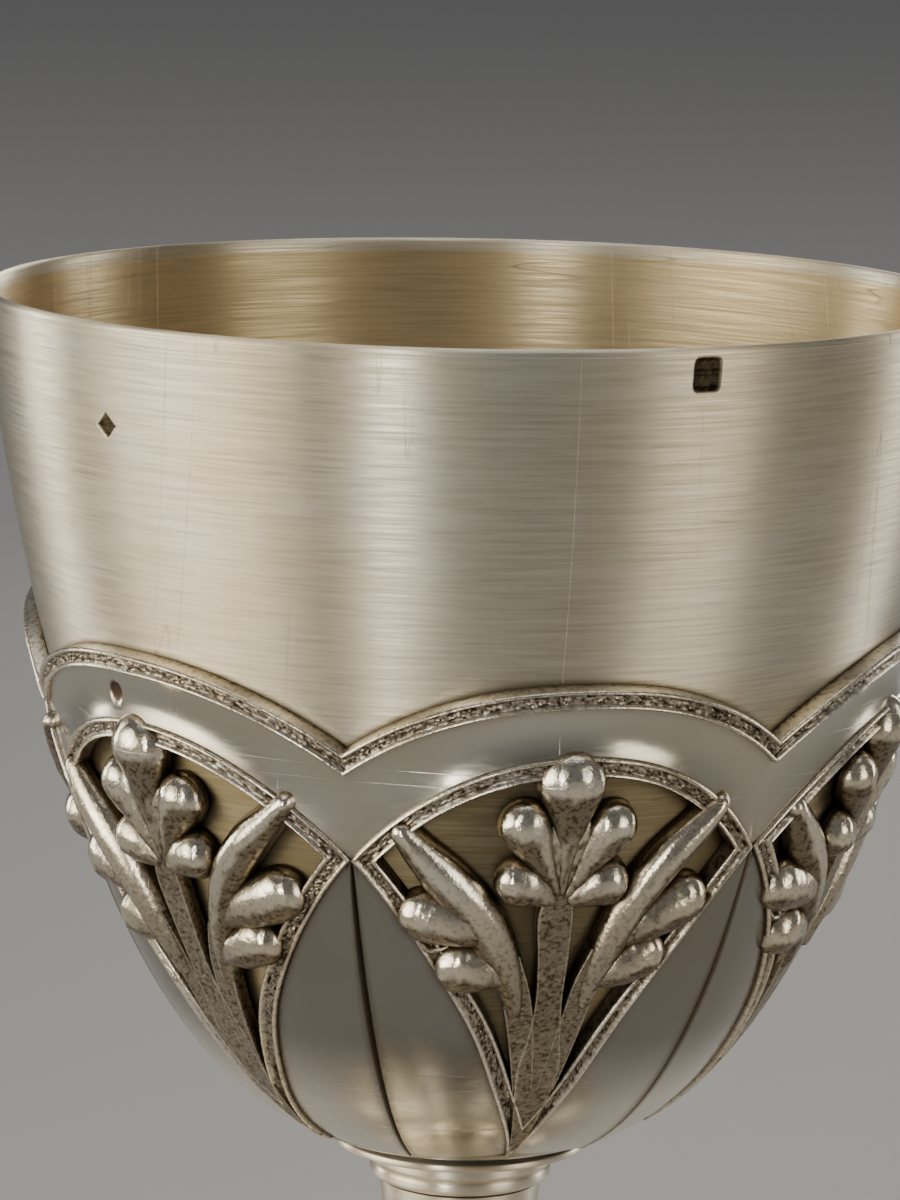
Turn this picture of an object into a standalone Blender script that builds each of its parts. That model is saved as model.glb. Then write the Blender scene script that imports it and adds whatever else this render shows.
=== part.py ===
"""A parcel-gilt silver chalice: a spun cup in a cast, pierced calyx, on a collar, stem, knop and foot.

Metres, +Z up. The origin is at the centre of the foot's underside. The calyx has six lobes, and the middle
of the first one faces -Y. Each piece is a separate solid that stands a fit gap clear of its neighbours.
"""

from math import acos, cos, pi, sin

import bmesh
import bpy
import numpy as np
from mathutils import Matrix

# The cup.
RIM_RADIUS = 0.045
BOWL_DEPTH = 0.0793
BOWL_FLARE = 1.279
BOWL_ROUNDNESS = 0.343
CUP_WALL = 0.0010

# The calyx. Its carving is drawn in half lobes across and panel heights down from a lobe's crest.
LOBES = 6
CREST_DEPTH = 0.0291
CALYX_SKIRT = 0.0020
CALYX_DROP = 0.0001
CALYX_WALL = 0.0009
SCALLOP_DIP = 0.128
SCALLOP_POWER = 2.25
BAND_WIDTH = 0.0018
BAND_RAISE = 0.0004
STEM_RAISE = 0.0002
BERRY_RAISE = 0.0016
LEAF_RAISE = 0.0014

# The collar, the stem's two lengths and the knop between them.
BORE_RADIUS = 0.0055
COLLAR_HEIGHT = 0.0043
COLLAR_FLANGE = 0.0123
RING_STAND = 0.0012
STEM_RADIUS = 0.0077
STEM_WAIST = 0.0007
STEM_BEAD_HEIGHT = 0.0024
STEM_BEAD_STAND = 0.0009
UPPER_STEM_HEIGHT = 0.0185
KNOP_HEIGHT = 0.0290
KNOP_RADIUS = 0.0170
KNOP_NECK = 0.0092
KNOP_BAND_HEIGHT = 0.0052
KNOP_BAND_RAISE = 0.0006
LOWER_STEM_HEIGHT = 0.0175

# The foot.
FOOT_HEIGHT = 0.0735
FOOT_RADIUS = 0.069
FOOT_WALL = 0.0010
FOOT_NECK = 0.0094
FOOT_EDGE_HEIGHT = 0.0065
FOOT_EDGE_WIDTH = 0.0030
FOOT_LEDGE_WIDTH = 0.0070
FOOT_LEDGE_RISE = 0.0030
FOOT_LEDGE_STEP = 0.0022
FOOT_ROUNDING = 0.0006

# Clearances.
FIT_GAP = 0.0003
OVERLAP = 0.0003

# How finely round things are cut.
TURN_STEPS = 36
SMALL_TURN_STEPS = 24
BOWL_STEPS = 8
LOBE_STEPS = 6
PETAL_COLUMNS = 4
DOME_SIDES = 7
SWELL_SLICES = 3

# The calyx ends a drop below the cup's bottom, and its panels fill the height between its crests and its skirt.
CALYX_STAND = FIT_GAP + CALYX_WALL
CALYX_FOOT_DEPTH = BOWL_DEPTH + CALYX_DROP
PANEL_HEIGHT = CALYX_FOOT_DEPTH - CALYX_SKIRT - CREST_DEPTH
COLLAR_TOP_DEPTH = CALYX_FOOT_DEPTH + FIT_GAP

FOOT_TOP = FOOT_HEIGHT
LOWER_STEM_FOOT = FOOT_TOP + FIT_GAP
KNOP_FOOT = LOWER_STEM_FOOT + LOWER_STEM_HEIGHT + FIT_GAP
UPPER_STEM_FOOT = KNOP_FOOT + KNOP_HEIGHT + FIT_GAP
COLLAR_FOOT = UPPER_STEM_FOOT + UPPER_STEM_HEIGHT + FIT_GAP
LIP_HEIGHT = COLLAR_FOOT + COLLAR_HEIGHT + COLLAR_TOP_DEPTH

# The arch that frames a panel and runs on as the next petal's edge: half lobes across, panel heights down.
ARCH_POINTS = ((-0.5, 0.169), (0, 0.121), (0.5, 0.169), (1, 0.329), (1.5, 0.623), (1.75, 0.827), (2, 1))

# The middle stem, from the flower's heart down to the trunk's foot: across, down, half width.
STEM_LINE = (
    (-0.03, 0.19, 0.0018),
    (-0.03, 0.27, 0.0026),
    (-0.03, 0.37, 0.0019),
    (-0.02, 0.42, 0.0012),
    (-0.02, 0.585, 0.0011),
    (-0.01, 0.68, 0.0016),
    (0, 0.76, 0.0020),
    (0, 0.867, 0.0015),
    (0, 0.975, 0.0004),
)

# A leaf's inner edge, from its tip to the trunk, and the notches between the lobes of its outer edge.
LEAF_EDGE = ((0.743, 0.237), (0.42, 0.329), (0.247, 0.442), (0.16, 0.542), (0.073, 0.721), (0.03, 0.846))
LEAF_NOTCHES = ((0.755, 0.237), (0.61, 0.377), (0.543, 0.49), (0.24, 0.60), (0.167, 0.72), (0.085, 0.846))

# How far each lobe swells past the line between its notches. The last two stretches are the leaf's stem.
LEAF_SWELLS = (0.037, 0.167, 0.18, 0, 0)

# The flower's five berries: across, down, half length, half width, and the rise of the outer end in degrees.
BERRIES = (
    (-0.03, 0.165, 0.0028, 0.0027, 0),
    (-0.233, 0.252, 0.0023, 0.0020, -25),
    (0.173, 0.252, 0.0023, 0.0020, 25),
    (-0.225, 0.367, 0.0026, 0.0020, -5),
    (0.165, 0.367, 0.0026, 0.0020, 5),
)

# The foot's dome, as shares of its width out from the neck and of its height down from the neck.
FOOT_DOME = (
    (0, 0),
    (0.03, 0.13),
    (0.09, 0.29),
    (0.20, 0.45),
    (0.40, 0.57),
    (0.64, 0.67),
    (0.86, 0.83),
    (1, 1),
)


def make_collection(name):
    """A new collection in the scene."""
    collection = bpy.data.collections.new(name)
    bpy.context.scene.collection.children.link(collection)
    return collection


def clear_scene():
    """Removes every object, so that the script can be run again."""
    for thing in list(bpy.data.objects):
        bpy.data.objects.remove(thing)


def silver(name, colour, roughness):
    """A polished or satin silver."""
    material = bpy.data.materials.new(name)
    material.use_nodes = True
    shader = material.node_tree.nodes["Principled BSDF"]
    shader.inputs["Base Color"].default_value = (*colour, 1)
    shader.inputs["Metallic"].default_value = 1
    shader.inputs["Roughness"].default_value = roughness
    return material


def smooth_line(points, steps):
    """A curve through the points, which leaves each one along the line between its neighbours."""
    points = np.asarray(points, float)
    ends = np.vstack([2 * points[0] - points[1], points, 2 * points[-1] - points[-2]])
    share = np.arange(steps)[:, None] / steps
    stretches = []
    for before, start, end, after in zip(ends[:-3], ends[1:-2], ends[2:-1], ends[3:]):
        bend = 2 * before - 5 * start + 4 * end - after
        twist = 3 * start - before - 3 * end + after
        stretches.append(0.5 * (2 * start + (end - before) * share + bend * share**2 + twist * share**3))
    return np.vstack([*stretches, points[-1:]])


def pushed_out(radii, heights, distance):
    """A profile that runs down its outer side, moved square to itself by the distance."""
    across, up = np.gradient(radii), np.gradient(heights)
    length = np.hypot(across, up)
    return radii - distance * up / length, heights + distance * across / length


def turned(name, outline, closed, steps, parts, material):
    """A body turned round Z from an outline of radius and height, which runs down the outer side."""
    spots = [(radius, 0, height) for radius, height in outline]
    edges = [(i, i + 1) for i in range(len(spots) - 1)]
    if closed:
        edges.append((len(spots) - 1, 0))
    mesh = bpy.data.meshes.new(name)
    mesh.from_pydata(spots, edges, [])
    mesh.materials.append(material)
    body = bpy.data.objects.new(name, mesh)
    parts.objects.link(body)
    screw = body.modifiers.new("Turn", "SCREW")
    screw.axis = "Z"
    screw.angle = 2 * pi
    screw.steps = steps
    screw.render_steps = steps
    screw.use_merge_vertices = True
    screw.merge_threshold = 0.00001
    screw.use_smooth_shade = True
    return body


def bowl_line(lift, steps):
    """Radii and heights of the cup's outer side, pushed out by lift: a superellipse, closed at the bottom."""
    fine = 20
    depths = BOWL_DEPTH * np.sin(np.linspace(0, pi / 2, fine * steps + 1))
    radii = RIM_RADIUS * (1 - (depths / BOWL_DEPTH) ** BOWL_FLARE) ** BOWL_ROUNDNESS
    radii, heights = pushed_out(radii, LIP_HEIGHT - depths, lift)
    return radii[::fine], heights[::fine]


def make_cup(parts):
    """The spun cup: an even wall, a rounded lip and a round bottom."""
    outer_radii, outer_heights = bowl_line(0, BOWL_STEPS)
    inner_radii, inner_heights = bowl_line(-CUP_WALL, BOWL_STEPS)
    lip_round = CUP_WALL / 3
    outer_heights[0] = LIP_HEIGHT - lip_round
    inner_heights[0] = LIP_HEIGHT - lip_round
    inner_radii[-1] = 0
    outer_radii[-1] = 0
    inside = list(zip(inner_radii, inner_heights))[::-1]
    lip = [(RIM_RADIUS - CUP_WALL / 2, LIP_HEIGHT)]
    outside = list(zip(outer_radii, outer_heights))
    material = silver("cup_silver", (0.80, 0.77, 0.71), 0.3)
    return turned("cup", inside + lip + outside, False, TURN_STEPS, parts, material)


def calyx_face(down):
    """Radius, height and outward direction of the calyx's face, so many panel heights below a crest."""
    radii, heights = bowl_line(CALYX_STAND, 100)
    across, up = np.gradient(radii), np.gradient(heights)
    length = np.hypot(across, up)
    level = LIP_HEIGHT - CREST_DEPTH - np.asarray(down, float) * PANEL_HEIGHT
    columns = (radii, -up / length, across / length)
    radius, out, rise = (np.interp(-level, -heights, column) for column in columns)
    return radius, level, out, rise


def on_calyx(lobe, across, down, lift):
    """A spot on the calyx, lifted square to its face."""
    radius, level, out, rise = calyx_face(down)
    radius = radius + lift * out
    turn = (lobe + np.asarray(across, float) / 2) * 2 * pi / LOBES
    x, y, z = np.broadcast_arrays(radius * np.sin(turn), -radius * np.cos(turn), level + lift * rise)
    return np.stack([x, y, z], axis=-1)


def metres_across(down):
    """The width of half a lobe at this height."""
    return calyx_face(down)[0] * pi / LOBES


def metres_down(down):
    """The length on the face of one panel height at this height: longer where the bowl turns in."""
    return PANEL_HEIGHT / calyx_face(down)[2]


def arch(across):
    """How far down the arch's edge lies, so many half lobes from its crown."""
    line = smooth_line(ARCH_POINTS, 8)
    return np.interp(np.abs(across), line[:, 0], line[:, 1])


def scallop(across):
    """How far down the calyx's top edge lies: a power curve from the crest to the notch between two lobes."""
    return SCALLOP_DIP * np.abs(across) ** SCALLOP_POWER


def add_loft(mesh, rings, peak=None, joined=False):
    """Adds a closed body with the rings as its sections, and a peak, caps or a join between its ends."""
    loops = [[mesh.verts.new(point) for point in ring] for ring in rings]
    pairs = list(zip(loops, loops[1:]))
    if joined:
        pairs.append((loops[-1], loops[0]))
    faces = []
    count = len(loops[0])
    for first, second in pairs:
        for i in range(count):
            j = (i + 1) % count
            faces.append(mesh.faces.new((first[i], first[j], second[j], second[i])))
    if not joined:
        faces.append(mesh.faces.new(loops[0]))
    if peak is not None:
        top = mesh.verts.new(peak)
        for i in range(count):
            faces.append(mesh.faces.new((loops[-1][i], loops[-1][(i + 1) % count], top)))
    elif not joined:
        faces.append(mesh.faces.new(loops[-1]))
    bmesh.ops.recalc_face_normals(mesh, faces=faces)


def add_dome(mesh, lobe, place, raise_by):
    """Adds a rounded boss on the calyx: an ellipse in plan, a quarter circle in section."""
    across, down, half_length, half_width, rise = place
    slant = rise * pi / 180
    low = OVERLAP - CALYX_WALL
    turns = np.arange(DOME_SIDES) * 2 * pi / DOME_SIDES
    along, aside = half_length * np.cos(turns), half_width * np.sin(turns)
    right = (along * cos(slant) - aside * sin(slant)) / metres_across(down)
    up = (along * sin(slant) + aside * cos(slant)) / metres_down(down)
    rings = []
    for size, lift in ((1, low), (0.8, 0.62 * raise_by)):
        rings.append(on_calyx(lobe, across + size * right, down - size * up, lift))
    add_loft(mesh, rings, peak=on_calyx(lobe, across, down, raise_by))


def add_strip(mesh, lobe, line, raise_by):
    """Adds a flat-topped rib on the calyx along a line of across, down and half width."""
    across, down, half_width = np.asarray(line, float).T
    low = OVERLAP - CALYX_WALL
    run_right = np.gradient(across) * metres_across(down)
    run_down = np.gradient(down) * metres_down(down)
    length = np.hypot(run_right, run_down)
    side_across = run_down / length * half_width / metres_across(down)
    side_down = -run_right / length * half_width / metres_down(down)
    top_share = 0.85
    corners = []
    for share, lift in ((1, low), (top_share, raise_by), (-top_share, raise_by), (-1, low)):
        corners.append(on_calyx(lobe, across + share * side_across, down + share * side_down, lift))
    add_loft(mesh, np.stack(corners, axis=1))


def add_leaf(mesh, lobe, side):
    """Adds a three-lobed leaf and its stem, in slices level with the rim, on one side of the flower."""
    low = OVERLAP - CALYX_WALL
    sections = []
    stretches = list(zip(LEAF_NOTCHES, LEAF_NOTCHES[1:], LEAF_SWELLS))
    edge_across, edge_down = np.transpose(LEAF_EDGE)
    for start, end, swell in stretches:
        slices = SWELL_SLICES if swell else 1
        last = end == LEAF_NOTCHES[-1]
        for share in np.arange(slices + last) / slices:
            outer = start[0] + (end[0] - start[0]) * share + swell * sin(share * pi)
            down = start[1] + (end[1] - start[1]) * share
            inner = np.interp(down, edge_down, edge_across)
            crest = LEAF_RAISE * (0.4 + 0.6 * sin(share * pi)) if swell else STEM_RAISE
            corners = ((0, low), (0, 0.5 * crest), (0.5, crest), (1, low))
            section = [(inner + (outer - inner) * part, lift) for part, lift in corners]
            sections.append([on_calyx(lobe, side * across, down, lift) for across, lift in section])
    add_loft(mesh, sections)


def closing_steps(start, end):
    """Steps along a panel's side, which shorten towards the bottom, where the bowl turns in."""
    steps = np.sin(np.linspace(0, 0.4 * pi, LOBE_STEPS + 1))
    return start + (end - start) * steps / steps[-1]


def panel_outline(band):
    """A panel's edge, drawn in by the band: over the arch, down the right side to the tip and back up."""
    def side(run):
        down = arch(run)
        return 2 - run - band / metres_across(down), down

    def top(across):
        return arch(across) + band / metres_down(arch(across))

    runs = np.linspace(1, 2, 400)
    across, down = side(runs)
    inside = runs[(down > top(across) - 1e-9) & (across > -1e-9)]
    side_across, side_down = side(closing_steps(inside[0], inside[-1]))
    side_across[-1] = 0
    top_across = np.linspace(-side_across[0], side_across[0], LOBE_STEPS + 1)
    top_line = np.stack([top_across, top(top_across)], axis=1)
    right_line = np.stack([side_across, side_down], axis=1)
    left_line = right_line[::-1] * (-1, 1)
    return np.vstack([left_line[-1:], top_line[1:-1], right_line[:-1], left_line])


def as_tool(name, mesh, tools):
    """Puts a mesh of closed bodies in the collection of shapes that cut or join."""
    data = bpy.data.meshes.new(name)
    mesh.to_mesh(data)
    mesh.free()
    tool = bpy.data.objects.new(name, data)
    tool.hide_render = True
    tool.display_type = "WIRE"
    tools.objects.link(tool)
    return tool


def add_boolean(body, operation, tool):
    """Cuts or joins the body with a tool. The exact solver leaves open edges where the sprays meet the shell."""
    step = body.modifiers.new(tool.name, "BOOLEAN")
    step.operation = operation
    step.solver = "MANIFOLD"
    step.object = tool


def spray_bodies():
    """The closed bodies of one spray: a stem and trunk, two leaves and a flower of five berries."""
    makers = [(add_strip, STEM_LINE, STEM_RAISE), (add_leaf, -1), (add_leaf, 1)]
    makers += [(add_dome, berry, BERRY_RAISE) for berry in BERRIES]
    for maker, *sizes in makers:
        mesh = bmesh.new()
        maker(mesh, 0, *sizes)
        yield mesh


def make_sprays(tools):
    """The sprays that fill the windows: one is joined from its bodies, then turned to each lobe."""
    bodies = [as_tool(f"spray_{i}", mesh, tools) for i, mesh in enumerate(spray_bodies())]
    for body in bodies[1:]:
        add_boolean(bodies[0], "UNION", body)
    depsgraph = bpy.context.evaluated_depsgraph_get()
    spray = bpy.data.meshes.new_from_object(bodies[0].evaluated_get(depsgraph))
    mesh = bmesh.new()
    for lobe in range(LOBES):
        first = len(mesh.verts)
        mesh.from_mesh(spray)
        mesh.verts.ensure_lookup_table()
        turn = Matrix.Rotation(lobe * 2 * pi / LOBES, 4, "Z")
        bmesh.ops.transform(mesh, matrix=turn, verts=mesh.verts[first:])
    for body in bodies:
        bpy.data.objects.remove(body)
    return as_tool("calyx_sprays", mesh, tools)


def add_patch(mesh, points):
    """Adds a grid of four-sided faces."""
    rows = [[mesh.verts.new(point) for point in row] for row in points]
    for upper, lower in zip(rows, rows[1:]):
        for i in range(len(upper) - 1):
            mesh.faces.new((upper[i], lower[i], lower[i + 1], upper[i + 1]))


def add_shell(mesh, lobe, lines, lift, lines_inside=None):
    """Adds the calyx's wall between lines of across and down, with its outer side lifted off the face."""
    inside = lines if lines_inside is None else lines_inside
    for side, height in ((lines, lift), (inside, -CALYX_WALL)):
        across, down = np.moveaxis(np.asarray(side), -1, 0)
        add_patch(mesh, on_calyx(lobe, across, down, height))


def add_edge(mesh, lobe, line, low, high):
    """Adds the side of a step along a line of across and down."""
    add_patch(mesh, [on_calyx(lobe, *line.T, lift) for lift in (low, high)])


def add_lobe(mesh, lobe):
    """Adds a sixth of the calyx's shell: scalloped band, plain field, framed window, petal and skirt."""
    across = np.linspace(-1, 1, LOBE_STEPS + 1)
    crest = scallop(across)
    slope = np.hypot(1, SCALLOP_POWER * crest * metres_down(crest) / metres_across(crest))
    crest_line = np.stack([across, crest], axis=1)
    band_line = np.stack([across, crest + slope * BAND_WIDTH / metres_down(crest)], axis=1)
    arch_line = np.stack([across, arch(across)], axis=1)
    frame, window = (panel_outline(band) for band in (0, BAND_WIDTH))
    add_shell(mesh, lobe, [crest_line, band_line], BAND_RAISE)
    add_shell(mesh, lobe, [band_line, arch_line], 0)
    add_shell(mesh, lobe, [frame, window], BAND_RAISE, [frame, (frame + window) / 2, window])
    add_edge(mesh, lobe, crest_line, -CALYX_WALL, BAND_RAISE)
    add_edge(mesh, lobe, band_line, 0, BAND_RAISE)
    add_edge(mesh, lobe, arch_line, 0, BAND_RAISE)
    add_edge(mesh, lobe, window, -CALYX_WALL, BAND_RAISE)

    runs = closing_steps(1, 2)
    share = np.linspace(0, 1, PETAL_COLUMNS + 1)
    petal_across = 2 - runs[:, None] + (2 * runs[:, None] - 2) * share
    petal = np.stack([petal_across, np.broadcast_to(arch(runs)[:, None], petal_across.shape)], axis=-1)
    add_shell(mesh, lobe, petal[:2], BAND_RAISE)
    add_shell(mesh, lobe, petal[1:], 0)
    add_edge(mesh, lobe, petal[1], 0, BAND_RAISE)
    add_edge(mesh, lobe, petal[1:, 0], 0, BAND_RAISE)
    add_edge(mesh, lobe, petal[1:, -1], 0, BAND_RAISE)
    skirt_line = petal[-1] + (0, CALYX_SKIRT / PANEL_HEIGHT)
    add_shell(mesh, lobe, [petal[-1], (petal[-1] + skirt_line) / 2, skirt_line], 0)
    add_edge(mesh, lobe, skirt_line, -CALYX_WALL, 0)


def make_calyx(parts, tools):
    """The cast calyx: a scalloped, banded and pierced shell, with a spray in each window."""
    shell = bmesh.new()
    for lobe in range(LOBES):
        add_lobe(shell, lobe)
    bmesh.ops.remove_doubles(shell, verts=shell.verts, dist=0.000002)
    bmesh.ops.recalc_face_normals(shell, faces=shell.faces)
    mesh = bpy.data.meshes.new("calyx")
    shell.to_mesh(mesh)
    shell.free()
    mesh.materials.append(silver("calyx_silver", (0.74, 0.70, 0.63), 0.28))
    calyx = bpy.data.objects.new("calyx", mesh)
    parts.objects.link(calyx)
    add_boolean(calyx, "UNION", make_sprays(tools))
    return calyx


def make_collar(parts):
    """The collar under the calyx: a flange, a hollow curve inwards and two fine rings."""
    top = COLLAR_FOOT + COLLAR_HEIGHT
    ring = STEM_RADIUS + RING_STAND
    hollow_start, hollow_end = top - 0.16 * COLLAR_HEIGHT, top - 0.42 * COLLAR_HEIGHT
    outline = [(BORE_RADIUS, top), (COLLAR_FLANGE, top), (COLLAR_FLANGE, hollow_start)]
    for step in range(1, 5):
        turn = step / 4 * pi / 2
        radius = COLLAR_FLANGE - (COLLAR_FLANGE - ring) * sin(turn)
        outline.append((radius, hollow_end + (hollow_start - hollow_end) * cos(turn)))
    for share, stand in ((0.60, 1), (0.66, 0.6), (0.72, 0.75), (0.92, 0.75), (1, 0.35)):
        outline.append((STEM_RADIUS + stand * RING_STAND, top - share * COLLAR_HEIGHT))
    outline.append((BORE_RADIUS, COLLAR_FOOT))
    material = silver("collar_silver", (0.78, 0.74, 0.66), 0.25)
    return turned("collar", outline, True, SMALL_TURN_STEPS, parts, material)


def make_stem(name, foot, height, parts):
    """A length of the stem: a slightly waisted tube with a bead at its lower end."""
    outline = [(BORE_RADIUS, foot + height)]
    for share in (1, 0.66, 0.33, 0):
        radius = STEM_RADIUS - STEM_WAIST * sin(share * pi)
        outline.append((radius, foot + STEM_BEAD_HEIGHT + share * (height - STEM_BEAD_HEIGHT)))
    for share in (0.8, 0.2):
        radius = STEM_RADIUS + STEM_BEAD_STAND * sin(share * pi)
        outline.append((radius, foot + share * STEM_BEAD_HEIGHT))
    outline += [(STEM_RADIUS, foot), (BORE_RADIUS, foot)]
    material = silver(name + "_silver", (0.78, 0.75, 0.68), 0.28)
    return turned(name, outline, True, SMALL_TURN_STEPS, parts, material)


def make_knop(parts):
    """The cast knop: a flattened ball with a flat band round its middle, bored through."""
    middle = KNOP_FOOT + KNOP_HEIGHT / 2
    neck_turn = acos(KNOP_NECK / KNOP_RADIUS)
    half_height = KNOP_HEIGHT / 2 / sin(neck_turn)
    band = KNOP_BAND_HEIGHT / 2
    band_radius = KNOP_RADIUS + KNOP_BAND_RAISE
    edge_turn = np.arcsin(band / half_height)
    upper = [(BORE_RADIUS, KNOP_HEIGHT / 2)]
    for turn in np.linspace(neck_turn, edge_turn, 6):
        upper.append((KNOP_RADIUS * cos(turn), half_height * sin(turn)))
    upper.append((band_radius, band))
    lower = [(radius, -height) for radius, height in reversed(upper)]
    outline = [(radius, middle + height) for radius, height in upper + lower]
    material = silver("knop_silver", (0.78, 0.75, 0.68), 0.28)
    return turned("knop", outline, True, SMALL_TURN_STEPS, parts, material)


def foot_line():
    """Radii and heights of the foot's outer side, from its neck to the edge of its dome."""
    dome_radius = FOOT_RADIUS - FOOT_LEDGE_WIDTH
    dome_foot = FOOT_EDGE_HEIGHT + FOOT_LEDGE_RISE
    line = smooth_line(FOOT_DOME, 1)
    radii = FOOT_NECK + line[:, 0] * (dome_radius - FOOT_NECK)
    return radii, FOOT_TOP - line[:, 1] * (FOOT_TOP - dome_foot)


def make_foot(parts):
    """The spun foot: a hollow dome on a stepped edge, open below."""
    radii, heights = foot_line()
    inner_radii, inner_heights = pushed_out(radii, heights, -FOOT_WALL)
    under = FOOT_TOP - FOOT_WALL
    lowered = inner_heights < under - FOOT_WALL / 4
    ledge_foot = FOOT_EDGE_HEIGHT
    edge_inner = FOOT_RADIUS - FOOT_EDGE_WIDTH
    outline = [(BORE_RADIUS, FOOT_TOP), *zip(radii, heights)]
    outline += [(radii[-1], heights[-1] - FOOT_LEDGE_RISE * 0.4)]
    outline += [(FOOT_RADIUS - FOOT_LEDGE_STEP, ledge_foot + FOOT_ROUNDING)]
    outline += [(FOOT_RADIUS, ledge_foot - FOOT_ROUNDING), (FOOT_RADIUS, FOOT_ROUNDING)]
    outline += [(FOOT_RADIUS - FOOT_ROUNDING, 0)]
    outline += [(edge_inner, 0), (edge_inner, ledge_foot - FOOT_WALL)]
    inside = list(zip(inner_radii[lowered], inner_heights[lowered]))[::-1]
    outline += inside + [(inside[-1][0], under), (BORE_RADIUS, under)]
    material = silver("foot_silver", (0.78, 0.75, 0.68), 0.3)
    return turned("foot", outline, True, TURN_STEPS, parts, material)


def main():
    """Makes the seven pieces."""
    clear_scene()
    parts = make_collection("chalice")
    tools = make_collection("cutters")
    make_cup(parts)
    make_calyx(parts, tools)
    make_collar(parts)
    make_stem("upper_stem", UPPER_STEM_FOOT, UPPER_STEM_HEIGHT, parts)
    make_knop(parts)
    make_stem("lower_stem", LOWER_STEM_FOOT, LOWER_STEM_HEIGHT, parts)
    make_foot(parts)


main()
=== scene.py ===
from math import pi, radians, tan

import bpy
import numpy as np
from mathutils import Matrix, Vector


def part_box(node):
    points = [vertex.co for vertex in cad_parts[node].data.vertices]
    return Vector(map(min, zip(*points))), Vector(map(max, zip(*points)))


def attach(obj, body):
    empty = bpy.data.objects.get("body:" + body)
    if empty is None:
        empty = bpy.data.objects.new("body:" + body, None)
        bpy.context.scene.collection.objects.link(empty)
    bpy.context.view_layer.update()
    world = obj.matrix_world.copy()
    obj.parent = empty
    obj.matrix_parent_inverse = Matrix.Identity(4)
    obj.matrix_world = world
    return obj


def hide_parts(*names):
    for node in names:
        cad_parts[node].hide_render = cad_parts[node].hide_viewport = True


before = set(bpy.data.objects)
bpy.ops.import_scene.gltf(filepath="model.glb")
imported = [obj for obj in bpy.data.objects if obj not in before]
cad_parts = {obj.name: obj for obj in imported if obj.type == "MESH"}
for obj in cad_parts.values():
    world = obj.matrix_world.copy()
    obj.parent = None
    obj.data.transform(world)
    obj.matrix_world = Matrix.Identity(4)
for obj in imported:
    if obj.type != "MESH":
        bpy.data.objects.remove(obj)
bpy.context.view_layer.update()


# The cup. Sheet silver, spun to a deep bowl, brushed round and round on the lathe and gilt inside up to just
# below the lip. Two small blank punch marks sit in its outer side. It rests in the calyx.
cup_low, cup_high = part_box("cup")
LIP_HEIGHT = cup_high.z
RIM_RADIUS = cup_high.x
BOWL_DEPTH = LIP_HEIGHT - cup_low.z
BOWL_FLARE = 1.279
BOWL_ROUNDNESS = 0.343
CUP_WALL = 0.0010
GILDING_DEPTH = 0.0014
CUP_COLUMNS = 288
OUTER_ROWS = 90
INNER_ROWS = 50
LIP_ROWS = 7
POLE_RADIUS = 0.0001

# Shallow dents and a fine unevenness of the outer side: how deep and how wide they are and how they are
# stretched. The dents grow from the lip down to a depth.
DENTS = (0.000035, 0.021, (1, 1, 0.5))
WAVES = (0.00001, 0.0065, (1, 1, 0.35))
DENTED_FROM = 0.004

# A mark's degrees round from the front lobe, depth below the lip, half width, half height and corner power.
PUNCH_MARKS = (
    (11.3, 0.0023, 0.0013, 0.0016, 5),
    (-59.5, 0.0089, 0.0013, 0.0012, 1),
)
PUNCH_SINK = 0.00016
PUNCH_SIDE = 0.12
PUNCH_PEBBLE = 0.0006
PUNCH_DIRT = 1.25
MARK_STEP = 0.0001
MARK_MARGIN = 1.25

# The dull film on the cup behind the calyx: its strength, where it starts under the scallops and its rise.
FILM = 0.9
FILM_GAP = 0.0002
FILM_RISE = 0.0010


def bowl(depth, lift=0):
    """Radius, height and outward way of the cup's outer side: a superellipse, pushed out square to itself."""
    share = np.clip(depth / BOWL_DEPTH, 1e-6, 1 - 1e-7)
    left = 1 - share**BOWL_FLARE
    radius = RIM_RADIUS * left**BOWL_ROUNDNESS
    bend = BOWL_ROUNDNESS * BOWL_FLARE * left ** (BOWL_ROUNDNESS - 1) * share ** (BOWL_FLARE - 1)
    slope = -RIM_RADIUS * bend / BOWL_DEPTH
    length = np.hypot(1, slope)
    height = LIP_HEIGHT - share * BOWL_DEPTH
    return radius + lift / length, height + lift * slope / length, 1 / length, slope / length


def around(turn, radius, height):
    """Spots at a turn in degrees from the front, where -Y is, towards +X."""
    turn = np.radians(turn)
    return np.stack(np.broadcast_arrays(radius * np.sin(turn), -radius * np.cos(turn), height), axis=-1)


def all_round(columns):
    """Even turns in degrees, from the back round to the back."""
    return np.linspace(-180, 180, columns, endpoint=False)


def held(share):
    """A share held between 0 and 1."""
    return np.clip(share, 0, 1)


def skin(rings, joined=False, **marks):
    """A closed surface over rings of spots: its ends are joined, or each is closed to its middle."""
    count, size = rings.shape[:2]
    spots = rings.reshape(-1, 3)
    index = np.arange(count * size).reshape(count, size)
    if joined:
        index = np.vstack([index, index[:1]])
    after = np.roll(index, -1, axis=1)
    faces = [np.stack([index[:-1], after[:-1], after[1:], index[1:]], axis=-1).reshape(-1, 4)]
    marks = {name: np.broadcast_to(values, (count, size)).reshape(-1) for name, values in marks.items()}
    if not joined:
        spots = np.vstack([spots, rings[0].mean(axis=0), rings[-1].mean(axis=0)])
        first, last = np.full(size, count * size), np.full(size, count * size + 1)
        faces.append(np.stack([after[0], index[0], first, first], axis=-1))
        faces.append(np.stack([index[-1], after[-1], last, last], axis=-1))
        marks = {name: np.append(values, values[[0, -1]]) for name, values in marks.items()}
    faces = np.vstack(faces)
    corners = spots[faces]
    halves = np.concatenate([corners[:, [0, 1, 2]], corners[:, [0, 2, 3]]])
    volume = np.einsum("ij,ij->", halves[:, 0], np.cross(halves[:, 1], halves[:, 2]))
    if volume < 0:
        faces = faces[:, ::-1]
    return spots, faces, marks


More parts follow.
